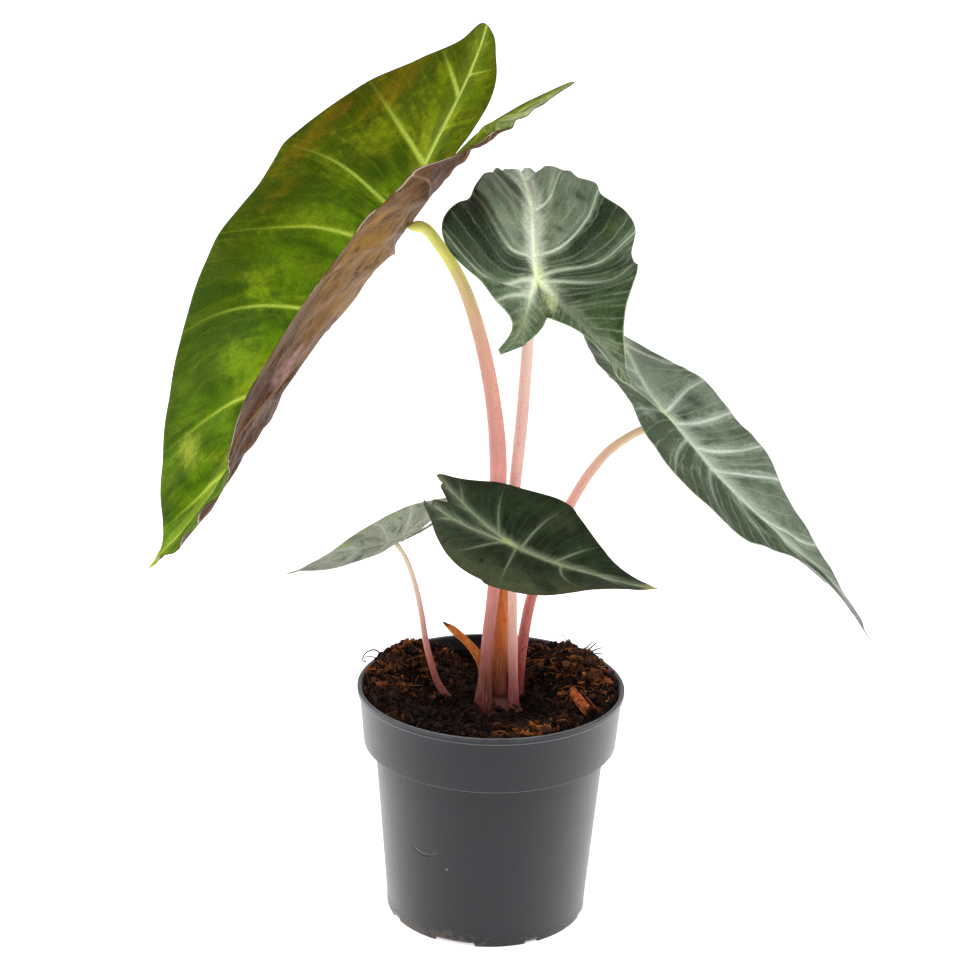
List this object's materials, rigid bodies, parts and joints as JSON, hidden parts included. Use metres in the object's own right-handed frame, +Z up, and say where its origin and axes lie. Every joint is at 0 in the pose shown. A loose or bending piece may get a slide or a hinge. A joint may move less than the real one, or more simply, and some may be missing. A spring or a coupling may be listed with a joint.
{
  "type": "potted alocasia plant",
  "caption": "Potted pink dragon alocasia with arrow-shaped leaves on arching pink stems, standing in soil in a tapered nursery pot.",
  "frame": {"origin": "centre of the pot's underside, on the surface it stands on", "axes": "+Z up along the pot's axis, -Y towards the viewer of the picture, +X to the viewer's right"},
  "size_m": [0.318, 0.1661, 0.3984],
  "materials": {
    "pot_plastic": "charcoal injection-moulded polypropylene, satin, lightly scuffed",
    "soil": "moist dark peat with orange coir fibres, matt",
    "rhizome": "pinkish brown woody stem base, matt",
    "petiole": "smooth pink leaf stem, satin, speckled near its base",
    "leaf_green": "bright green waxy leaf with pale veins, purple-brown below",
    "leaf_silver": "silvery dark green leaf with pale veins",
    "leaf_grey": "silver-grey green leaf with pale veins",
    "leaf_dark": "dark green satin leaf with thin pale veins",
    "leaf_pale": "small silvery green leaf",
    "sheath": "dry papery orange sheath, translucent",
    "bract": "dried curled scale, orange brown",
    "bark": "rough bark splinter"
  },
  "bodies": {
    "root": {"pot": "pot_plastic", "soil": "soil", "rhizome": "rhizome", "petiole_1": "petiole", "petiole_2": "petiole", "petiole_3": "petiole", "petiole_4": "petiole", "petiole_5": "petiole", "blade_1": "leaf_green", "blade_2": "leaf_silver", "blade_3": "leaf_grey", "blade_4": "leaf_dark", "blade_5": "leaf_pale", "sheath": "sheath", "bract": "bract", "bark_chip": "bark"}
  },
  "joints": []
}
